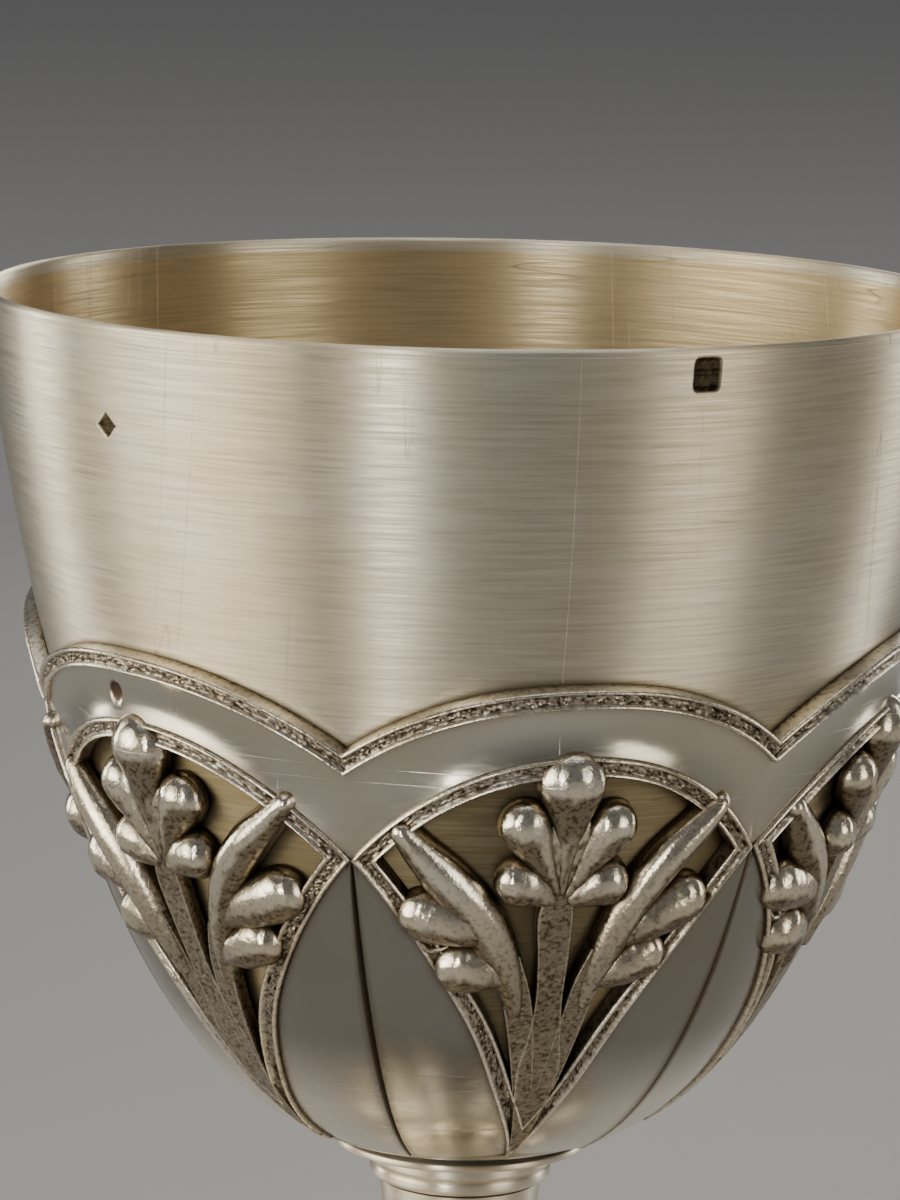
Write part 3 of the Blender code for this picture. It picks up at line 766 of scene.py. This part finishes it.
# Half of a stem's section: shares of its half width and of its lift.
STEM_SECTION = ((-1, -1), (-1, 0.75), (-0.93, 1), (-0.8, 0.93), (-0.55, 0.88), (-0.28, 0.86), (0, 0.85))
STEM_LIFT = 0.00045
STEM_ROUGHNESS = 0.000025

# Patina along a pod's tail and on a stem's top, its sides and its edges. Painted shade and reflection on a
# pod's side that faces down: the fade is the painted shade's share for each share that a side faces down, and
# it turns light again at the lowest edge.
TAIL_PATINA = 0.6
UNDER_PAINTED_SHADE = 0.8
UNDER_SHADE_FADE = ((0.01, 0.11, 0.68, 0.80), (0, 1, 1, 0))
STEM_TOP_PATINA = 0.72
STEM_CONTRAST = 0.08
STEM_SIDE_PATINA = 0.85
STEM_EDGE_PATINA = 0.35


def square_to(turn, depth):
    """Degrees and depth for one metre square to a line on the calyx, on its left."""
    width, length = degree_width(depth), depth_length(depth)
    run, fall = np.gradient(turn) * width, np.gradient(depth) * length
    size = np.hypot(run, fall)
    return fall / size / width, -run / size / length


def pod(lobe, line, half_widths, crest, seed, steps=34, size=22):
    """A plump pod: a half oval on upright sides, carried along a line and drawn in to round ends.

    It is tarnished at its foot and along its tail, and painted darker where it faces down, as painted shade
    and reflection.
    """
    fine = smooth_line(line, 40)
    length = np.hypot(np.gradient(fine[:, 0]) * MM_PER_DEGREE, np.gradient(fine[:, 1])).cumsum()
    length = length - length[0]
    total = length[-1]
    share = (1 - np.cos(np.linspace(0, pi, steps + 2)[1:-1])) / 2
    turn = np.interp(share * total, length, fine[:, 0])
    depth = np.interp(share * total, length, fine[:, 1]) * MM
    widths = np.interp(share, np.linspace(0, 1, len(half_widths)), half_widths)
    head, tail = half_widths[0] / total, half_widths[-1] / total
    rounded = np.sqrt(held(1 - (1 - np.minimum(share / head, 1)) ** 2))
    rounded *= np.sqrt(held(1 - (1 - np.minimum((1 - share) / tail, 1)) ** 2))
    reach = widths * rounded * MM
    bend = np.linspace(0, pi, size - 2)
    aside = np.concatenate([np.cos(bend), [-1, 1]])
    high = np.concatenate([np.sin(bend), [-1, -1]])
    tall = crest * MM * (0.2 + 0.8 * widths / max(half_widths)) - POD_SIDE
    lift = np.where(high >= 0, POD_SIDE + high * (tall * rounded)[:, None], SPRAY_FOOT)
    side_turn, side_depth = square_to(turn, depth)
    turns = turn[:, None] + aside * (reach * side_turn)[:, None] + lobe * LOBE_DEGREES
    depths = depth[:, None] + aside * (reach * side_depth)[:, None]
    lift = lift + POD_WEAR * ripple(on_calyx(turns, depths, lift), POD_WEAR_SIZE, seed) * (high > 0.2)
    spots = on_calyx(turns, depths, lift)
    facing = np.cross(np.gradient(spots, axis=1), np.gradient(spots, axis=0))
    facing /= np.linalg.norm(facing, axis=2, keepdims=True) + 1e-12
    outward = np.sign((facing * around(turns, 1, 0)).sum(axis=2).mean())
    # Painted shade and reflection: a dark band on the side that faces down, light again at the lowest edge.
    down = face(depths)[2] - outward * facing[..., 2]
    under = np.interp(down, *UNDER_SHADE_FADE) * (high > 0.1)
    behind = held(share / 0.6 - 0.5)[:, None]
    hollow = held(1 - 2.2 * high) ** 2 + TAIL_PATINA * behind
    return skin(spots, hollow=np.maximum(hollow, UNDER_PAINTED_SHADE * under))


def flat_stem(lobe, line, half_widths, seed, steps=130):
    """A flat stem with crisp raised edges and a roughened top, carried along a line."""
    half = np.array(STEM_SECTION + tuple((-aside, high) for aside, high in STEM_SECTION[-2::-1]))
    aside, high = half.T
    fine = smooth_line(np.column_stack([line, half_widths]), 40)
    places = np.linspace(0, len(fine) - 1, steps)
    turn, depth, reach = (np.interp(places, np.arange(len(fine)), column) for column in fine.T)
    depth, reach = depth * MM, reach * MM
    side_turn, side_depth = square_to(turn, depth)
    turns = turn[:, None] + aside * (reach * side_turn)[:, None] + lobe * LOBE_DEGREES
    depths = depth[:, None] + aside * (reach * side_depth)[:, None]
    inner = np.abs(aside) < 0.85
    rough = np.random.default_rng(seed).normal(0, STEM_ROUGHNESS, turns.shape) * inner
    lift = np.where(high < 0, SPRAY_FOOT, high * STEM_LIFT) + rough
    edges = np.where(high < 0.8, STEM_SIDE_PATINA, STEM_EDGE_PATINA)
    dark = np.where(inner, STEM_TOP_PATINA - rough / STEM_ROUGHNESS * STEM_CONTRAST, edges)
    return skin(on_calyx(turns, depths, lift), hollow=dark)


spray_finish = silver(
    "burnished_silver_sprays",
    bright=(0.84, 0.78, 0.64),
    dull=(0.11, 0.08, 0.045),
    roughness=0.16,
    brushing=(1500, 1500, 1500),
    brush_height=0.000010,
    pits=0.22,
    crevice=0.0014,
)
sprays = []
for lobe in range(LOBES):
    for number, pod_sizes in enumerate(BERRIES + LEFT_LEAF + RIGHT_LEAF):
        sprays.append(pod(lobe, *pod_sizes, seed=40 + number))
    for number, stem_sizes in enumerate(STEMS):
        sprays.append(flat_stem(lobe, *stem_sizes, seed=60 + 3 * lobe + number))
make_piece("calyx_sprays", sprays, spray_finish, "calyx_silver")


# The collar and the stem. Turned rings and tubes of silver under the calyx, with a bead at the foot of each
# length of the stem. They are bored through for a rod, which can't be seen and is left out.
BORE_RADIUS = 0.0055
STEM_RADIUS = 0.0077
STEM_WAIST = 0.0007
BEAD_HEIGHT = 0.0024
BEAD_STAND = 0.0009
RING_STAND = 0.0012
EDGE_ROUNDING = 0.00022
TURNED_COLUMNS = 180

# The collar's rings: shares of its height from its top, and of the rings' stand.
COLLAR_RINGS = ((0.60, 1), (0.66, 0.6), (0.72, 0.75), (0.92, 0.75), (1, 0.35))


def rounded(outline, radius, steps=4):
    """An outline with its corners rounded: each becomes a short curve drawn towards its old place."""
    outline = np.asarray(outline, float)
    before, after = np.roll(outline, 1, axis=0) - outline, np.roll(outline, -1, axis=0) - outline
    ends = []
    for way in (before, after):
        size = np.linalg.norm(way, axis=1, keepdims=True)
        ends.append(outline + way / size * np.minimum(radius, 0.45 * size))
    start, end = ends
    share = np.linspace(0, 1, steps)[:, None, None]
    curve = (1 - share) ** 2 * start + 2 * share * (1 - share) * outline + share**2 * end
    return curve.transpose(1, 0, 2).reshape(-1, 2)


def turned_skin(outline, columns=TURNED_COLUMNS, hollow=0.0):
    """An outline of radius and height turned about Z into a ring, closed on itself."""
    radius, height = np.asarray(outline).T
    turn = all_round(columns)
    hollow = np.broadcast_to(hollow, len(radius))[:, None]
    return skin(around(turn, radius[:, None], height[:, None]), joined=True, hollow=hollow)


def collar_outline():
    """A flange with a round edge, a hollow curve inwards and two fine rings."""
    low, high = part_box("collar")
    tall = high.z - low.z
    bend = np.linspace(0, pi / 2, 14)
    cove_out = high.x - (high.x - STEM_RADIUS - RING_STAND) * np.sin(bend)
    cove_down = high.z - tall * (0.42 - 0.26 * np.cos(bend))
    flange = [(BORE_RADIUS, high.z), (high.x, high.z)]
    rings = [(STEM_RADIUS + stand * RING_STAND, high.z - share * tall) for share, stand in COLLAR_RINGS]
    corners = [*flange, *zip(cove_out, cove_down), *rings, (BORE_RADIUS, low.z)]
    return rounded(corners, EDGE_ROUNDING)


def stem_outline(name):
    """A slightly waisted tube whose wall draws in as a half sine wave, on a bead."""
    low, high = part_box(name)
    share = np.linspace(1, 0, 24)
    radius = STEM_RADIUS - STEM_WAIST * np.sin(share * pi)
    height = low.z + BEAD_HEIGHT + share * (high.z - low.z - BEAD_HEIGHT)
    bead = np.linspace(0.95, 0.05, 12)
    radius = np.concatenate([[BORE_RADIUS], radius, STEM_RADIUS + BEAD_STAND * np.sin(bead * pi)])
    height = np.concatenate([[high.z], height, low.z + bead * BEAD_HEIGHT])
    radius = np.append(radius, [STEM_RADIUS, BORE_RADIUS])
    return np.stack([radius, np.append(height, [low.z, low.z])], axis=1)


# The stem's silver is tinted warm: its own tone with a painted warm reflection.
stem_finish = silver(
    "turned_silver_stem",
    bright=(0.80, 0.74, 0.62),
    dull=(0.30, 0.23, 0.14),
    roughness=0.38,
    brushing=(80, 80, 5000),
    brush_height=0.000004,
    turned=0.8,
    crevice=0.0005,
)
make_piece("collar_turned", [turned_skin(collar_outline())], stem_finish, "stem_silver", "collar")
for name in ("upper_stem", "lower_stem"):
    make_piece(name + "_turned", [turned_skin(stem_outline(name))], stem_finish, "stem_silver", name)


# The knop. A cast ball, a little flattened, with a hatched band round its middle and six chased petals above
# and below it. The hand holds the chalice by it, so its heights are worn bright.
KNOP_RADIUS = 0.0170
KNOP_NECK = 0.0092
KNOP_BAND_HALF = 0.0026
KNOP_PETAL_REACH = 0.78
KNOP_WIRE = 0.00028
KNOP_RELIEF = 0.0003
KNOP_SWELL_LENGTH = 0.002
KNOP_GROOVE_WIDTH = 0.00025
KNOP_GROOVE_GAP = 0.0006
KNOP_MIDDLE_RADIUS = 0.014
KNOP_ROUGHNESS = 0.00006
CARVED_COLUMNS = 360

# The tarnish in a petal's groove, as a width, and beside its wire, as a distance and a width.
KNOP_GROOVE_DARK = 0.0003
KNOP_WIRE_DARK = (0.0004, 0.00015)

# The hatched band's section: shares of its height, and its depth in millimetres.
KNOP_BAND_SECTION = (
    (0, 0.30), (0.03, 0.08), (0.09, 0), (0.16, 0.08), (0.21, 0.40), (0.35, 0.42), (0.50, 0.42),
    (0.65, 0.42), (0.79, 0.40), (0.84, 0.08), (0.91, 0), (0.97, 0.08), (1, 0.30),
)


def along(outline, places, lift):
    """Radius and height so far along an outline that runs down its outer side, lifted square to it."""
    length = np.append(0, np.hypot(*np.diff(outline, axis=0).T).cumsum())
    way = np.gradient(outline, length, axis=0)
    way /= np.linalg.norm(way, axis=1, keepdims=True)
    columns = (*outline.T, -way[:, 1], way[:, 0])
    radius, height, out, rise = (np.interp(places, length, column) for column in columns)
    return radius + lift * out, height + lift * rise


def wire(distance, width):
    """The section of a raised wire: a smooth hump that falls off on both sides."""
    return np.exp(-((distance / width) ** 2))


def knop_rings(turn):
    """The knop's upper half from its neck to its band: on each sixth an arched petal edged by a wire."""
    low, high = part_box("knop")
    half = (high.z - low.z) / 2
    neck_bend = np.arccos(KNOP_NECK / KNOP_RADIUS)
    tall = half / np.sin(neck_bend)
    bend = np.linspace(neck_bend, np.arcsin(KNOP_BAND_HALF / tall), 60)
    outline = np.stack([KNOP_RADIUS * np.cos(bend), tall * np.sin(bend)], axis=1)
    total = np.hypot(*np.diff(outline, axis=0).T).sum()
    share = lobe_share(turn)
    tip = total * (1 - KNOP_PETAL_REACH * (1 - share**2.2))
    rows = np.concatenate([np.linspace(0, 1, 26), np.linspace(1, 2, 30)[1:]])[:, None]
    places = np.where(rows < 1, rows * tip, tip + (rows - 1) * (total - tip))
    within = np.clip(places - tip, 0, None)
    inside = within > KNOP_GROOVE_GAP
    aside = share * HALF_LOBE * pi / 180 * KNOP_MIDDLE_RADIUS
    edge = KNOP_WIRE * wire(places - tip, KNOP_WIRE) * (share < 0.97)
    swell = KNOP_RELIEF * held(1 - share) * held(within / KNOP_SWELL_LENGTH)
    groove = KNOP_RELIEF * wire(aside, KNOP_GROOVE_WIDTH) * inside
    lift = np.where(rows > 1.94, 0, edge + swell - groove)
    radius, height = along(outline, places, lift - KNOP_RELIEF)
    beside = wire(np.abs(places - tip) - KNOP_WIRE_DARK[0], KNOP_WIRE_DARK[1])
    return radius, height, 0.8 * wire(aside, KNOP_GROOVE_DARK) * inside + 0.6 * beside


def knop_skin():
    """The knop's two mirrored halves, the hatched band between two wires, and the bore."""
    low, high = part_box("knop")
    middle = (low.z + high.z) / 2
    turn = all_round(CARVED_COLUMNS)
    radius, height, dark = knop_rings(turn)
    share, depth = np.transpose(KNOP_BAND_SECTION)
    strip = (share > 0.2) & (share < 0.8)
    rough = np.random.default_rng(90).normal(0, KNOP_ROUGHNESS, (len(share), len(turn))) * strip[:, None]
    band_height = KNOP_BAND_HALF * (1 - 2 * share)[:, None] + 0 * turn
    band = high.x - depth[:, None] * MM - np.abs(rough)
    bore = np.full((2, len(turn)), BORE_RADIUS)
    ends = np.array([[-1], [1]]) * (high.z - low.z) / 2 + 0 * turn
    radius = np.vstack([radius, band, radius[::-1], bore])
    height = np.vstack([height, band_height, -height[::-1], ends])
    band_dark = np.where(strip[:, None], HATCH_DARK, 0.0) + 0 * turn
    dark = np.vstack([dark, band_dark, dark[::-1], 0 * bore])
    return skin(around(turn, radius, middle + height), joined=True, hollow=dark)


knop_finish = silver(
    "worn_silver_knop",
    bright=(0.80, 0.74, 0.63),
    dull=(0.10, 0.07, 0.04),
    roughness=0.25,
    brushing=(900, 900, 2200),
    brush_height=0.000005,
    pits=0.1,
    crevice=0.0012,
)
make_piece("knop_cast", [knop_skin()], knop_finish, "stem_silver", "knop")


# The foot. Spun sheet silver, hollow and open below, on a stepped edge. The calyx's scalloped band is
# repeated round its dome, and a hatched band runs round its edge.
FOOT_NECK = 0.0094
FOOT_WALL = 0.0010
FOOT_EDGE_HEIGHT = 0.0065
FOOT_EDGE_WIDTH = 0.0030
FOOT_LEDGE_WIDTH = 0.0070
FOOT_LEDGE_RISE = 0.0030
FOOT_LEDGE_STEP = 0.0022
FOOT_CREST = 0.52
FOOT_DIP = 0.0060
FOOT_BAND_RADIUS = 0.034
FOOT_EDGE_LIP = 0.0003
FOOT_ROUGHNESS = 0.00007
FOOT_HATCH_DARK = 0.85
FOOT_COLUMNS = 420

# The dome, as shares of its width out from the neck and of its height down from the neck.
FOOT_DOME = ((0, 0), (0.03, 0.13), (0.09, 0.29), (0.2, 0.45), (0.4, 0.57), (0.64, 0.67), (0.86, 0.83), (1, 1))

# The step under the dome: how far in from the edge, how far above its top, and its darkness.
FOOT_STEP = (
    (FOOT_LEDGE_WIDTH, 0.6 * FOOT_LEDGE_RISE, 0.5),
    (FOOT_LEDGE_STEP, 0.0008, 0.3),
    (0.0012, 0.0004, 0),
    (0.0002, 0.0001, 0),
)

# The edge's section: shares of its height from its top, and its depth in millimetres.
FOOT_EDGE_SECTION = (
    (0, 0.20), (0.05, 0.05), (0.11, 0), (0.17, 0.08), (0.22, 0.35), (0.36, 0.38), (0.50, 0.38),
    (0.64, 0.38), (0.78, 0.35), (0.83, 0.08), (0.89, 0), (0.95, 0.05), (1, 0.30),
)


def foot_skin():
    """The foot: its dome with the band carried round it, the step, the hatched edge and the inner side."""
    low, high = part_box("foot")
    dome_radius = high.x - FOOT_LEDGE_WIDTH
    dome_foot = FOOT_EDGE_HEIGHT + FOOT_LEDGE_RISE
    out, down = smooth_line(FOOT_DOME, 24).T
    dome_width, dome_height = dome_radius - FOOT_NECK, high.z - dome_foot
    outline = np.stack([FOOT_NECK + out * dome_width, high.z - down * dome_height], axis=1)
    total = np.hypot(*np.diff(outline, axis=0).T).sum()
    turn = all_round(FOOT_COLUMNS)
    share, lift = np.transpose(BAND_SECTION[1:-1])
    crest = FOOT_CREST * total + FOOT_DIP * lobe_share(turn) ** SCALLOP_POWER
    width = BAND_WIDTH * np.hypot(1, np.gradient(crest) / (2 * pi * FOOT_BAND_RADIUS / FOOT_COLUMNS))
    above, below = np.linspace(0, 1, 46)[:-1], np.linspace(0, 1, 31)[1:]
    places = [above[:, None] * crest, crest + share[:, None] * width]
    places.append(crest + width + below[:, None] * (total - crest - width))
    lifts = np.concatenate([np.zeros(len(above)), lift, np.zeros(len(below))])[:, None]
    places = np.vstack(places)
    strip = np.zeros(len(places), bool)
    strip[len(above) :][: len(share)] = (share > HATCH_FROM) & (share < HATCH_TO)
    draw = np.random.default_rng(95)
    rough = draw.normal(0, HATCH_HEIGHT, places.shape) * strip[:, None]
    radius, height = along(outline, places, lifts + rough)
    dark = np.where(strip[:, None], FOOT_HATCH_DARK, 0.0) + 0 * places
    step_in, step_up, step_dark = np.transpose(FOOT_STEP)[:, :, None] + 0 * turn
    edge_share, edge_depth = np.transpose(FOOT_EDGE_SECTION)
    edge_strip = (edge_share > 0.2) & (edge_share < 0.8)
    edge_rough = np.abs(draw.normal(0, FOOT_ROUGHNESS, (len(edge_share), FOOT_COLUMNS))) * edge_strip[:, None]
    edge_radius = high.x - edge_depth[:, None] * MM - edge_rough
    edge_height = (1 - edge_share[:, None]) * (FOOT_EDGE_HEIGHT - FOOT_EDGE_LIP) + 0 * turn
    inner_radius, inner_height = along(outline, np.linspace(total, 0.004, 40), -FOOT_WALL)
    under = [(high.x - FOOT_EDGE_WIDTH, 0), (high.x - FOOT_EDGE_WIDTH, FOOT_EDGE_HEIGHT - FOOT_WALL)]
    inside = [*under, *zip(inner_radius, inner_height), (inner_radius[-1], high.z - FOOT_WALL)]
    inside += [(BORE_RADIUS, high.z - FOOT_WALL), (BORE_RADIUS, high.z)]
    inside_radius, inside_height = (np.array(column)[:, None] + 0 * turn for column in zip(*inside))
    radius = np.vstack([radius, high.x - step_in, edge_radius, inside_radius])
    height = np.vstack([height, FOOT_EDGE_HEIGHT + step_up, edge_height, inside_height])
    edge_dark = np.where(edge_strip[:, None], HATCH_DARK, 0.0) + 0 * turn
    dark = np.vstack([dark, step_dark, edge_dark, 0 * inside_radius])
    return skin(around(turn, radius, height), joined=True, hollow=dark)


foot_finish = silver(
    "brushed_silver_foot",
    bright=(0.82, 0.78, 0.69),
    dull=(0.10, 0.07, 0.04),
    roughness=0.40,
    brushing=(60, 60, 5000),
    brush_height=0.000004,
    turned=0.8,
    crevice=0.0012,
)
make_piece("foot_spun", [foot_skin()], foot_finish, "stem_silver", "foot")


# The floor, the lights and the camera. A plain pale floor, tall soft lights round the chalice and a wide one
# above, and a camera at a little above the lip that looks down into the cup.
FLOOR_RADIUS = 9.0
FLOOR_DROP = 0.0001
FLOOR_SIDES = 96
FLOOR_COLOUR = (0.66, 0.65, 0.63, 1)
FLOOR_ROUGHNESS = 0.85
CAMERA_TURN = -14.0
CAMERA_REACH = 0.41136
CAMERA_ABOVE_LIP = 0.04636
CAMERA_PAN = 0.2786
CAMERA_TILT = 10.391
CAMERA_ROLL = 1.09
CAMERA_LENS = 135.507
FILM_HEIGHT = 36.0

# Tall lights: turn round from the camera in degrees, distance, width, height, radiance and colour.
TALL_LIGHTS = (
    (-70, 0.85, 1.00, 1.0, 7.6, (1.0, 0.92, 0.78)),
    (-19, 0.80, 0.05, 1.0, 30.0, (1.0, 0.95, 0.88)),
    (53, 0.85, 0.36, 1.0, 4.0, (1.0, 0.93, 0.80)),
    (116, 0.95, 0.22, 1.0, 5.0, (1.0, 0.95, 0.88)),
    (172, 1.30, 0.55, 1.0, 6.5, (1.0, 0.92, 0.80)),
    (-118, 1.00, 0.20, 1.0, 9.0, (1.0, 0.94, 0.85)),
)
LIGHT_FOOT = 0.01
LIGHT_SPREAD = 70

# The top light: its height, size and radiance, how far it lies behind the cup, and its colour.
TOP_LIGHT = (2.6, 2.4, 1.15, 0.1, (1.0, 0.98, 0.95))
SKY = (0.13, 0.13, 0.134)

floor_mesh = bpy.data.meshes.new("floor")
floor_spots = around(np.linspace(0, 360, FLOOR_SIDES, endpoint=False), FLOOR_RADIUS, -FLOOR_DROP)
floor_mesh.from_pydata(floor_spots.tolist(), [], [tuple(range(FLOOR_SIDES))])
floor_material = bpy.data.materials.new("pale_floor")
floor_material.use_nodes = True
floor_tree = floor_material.node_tree
floor_inputs = {"Base Color": FLOOR_COLOUR, "Roughness": FLOOR_ROUGHNESS}
feed(floor_tree, floor_tree.nodes["Principled BSDF"], floor_inputs)
floor_mesh.materials.append(floor_material)
floor = add_object("floor", floor_mesh)


def add_light(name, place, target, width, height, radiance, colour, spread=180):
    """A soft rectangular light that faces its target and isn't seen by the camera itself."""
    half_spread = radians(spread) / 2
    light = bpy.data.lights.new(name, "AREA")
    light.shape = "RECTANGLE"
    light.size = width
    light.size_y = height
    light.energy = radiance * pi * width * height * (1 - half_spread / tan(half_spread))
    light.color = colour
    light.spread = radians(spread)
    lamp = add_object(name, light)
    lamp.location = place
    lamp.rotation_euler = (Vector(target) - Vector(place)).to_track_quat("-Z", "Y").to_euler()
    lamp.visible_camera = False


for number, (turn, distance, width, height, radiance, colour) in enumerate(TALL_LIGHTS):
    middle = height / 2 + LIGHT_FOOT
    place = around(CAMERA_TURN + turn, distance, middle)
    target = (0, 0, middle)
    add_light(f"tall_light_{number}", place, target, width, height, radiance, colour, LIGHT_SPREAD)
top_height, top_size, top_radiance, top_back, top_colour = TOP_LIGHT
add_light("top_light", (0, top_back, top_height), (0, 0, 0), top_size, top_size, top_radiance, top_colour)

world = bpy.data.worlds.new("studio")
world.use_nodes = True
feed(world.node_tree, world.node_tree.nodes["Background"], {"Color": (*SKY, 1), "Strength": 1.0})
bpy.context.scene.world = world

camera_data = bpy.data.cameras.new("camera")
camera_data.sensor_fit = "VERTICAL"
camera_data.sensor_height = FILM_HEIGHT
camera_data.lens = CAMERA_LENS
camera = add_object("camera", camera_data)
camera.matrix_world = (
    Matrix.Translation(around(CAMERA_TURN, CAMERA_REACH, LIP_HEIGHT + CAMERA_ABOVE_LIP))
    @ Matrix.Rotation(radians(CAMERA_TURN + CAMERA_PAN), 4, "Z")
    @ Matrix.Rotation(radians(90 - CAMERA_TILT), 4, "X")
    @ Matrix.Rotation(radians(CAMERA_ROLL), 4, "Z")
)
bpy.context.scene.camera = camera
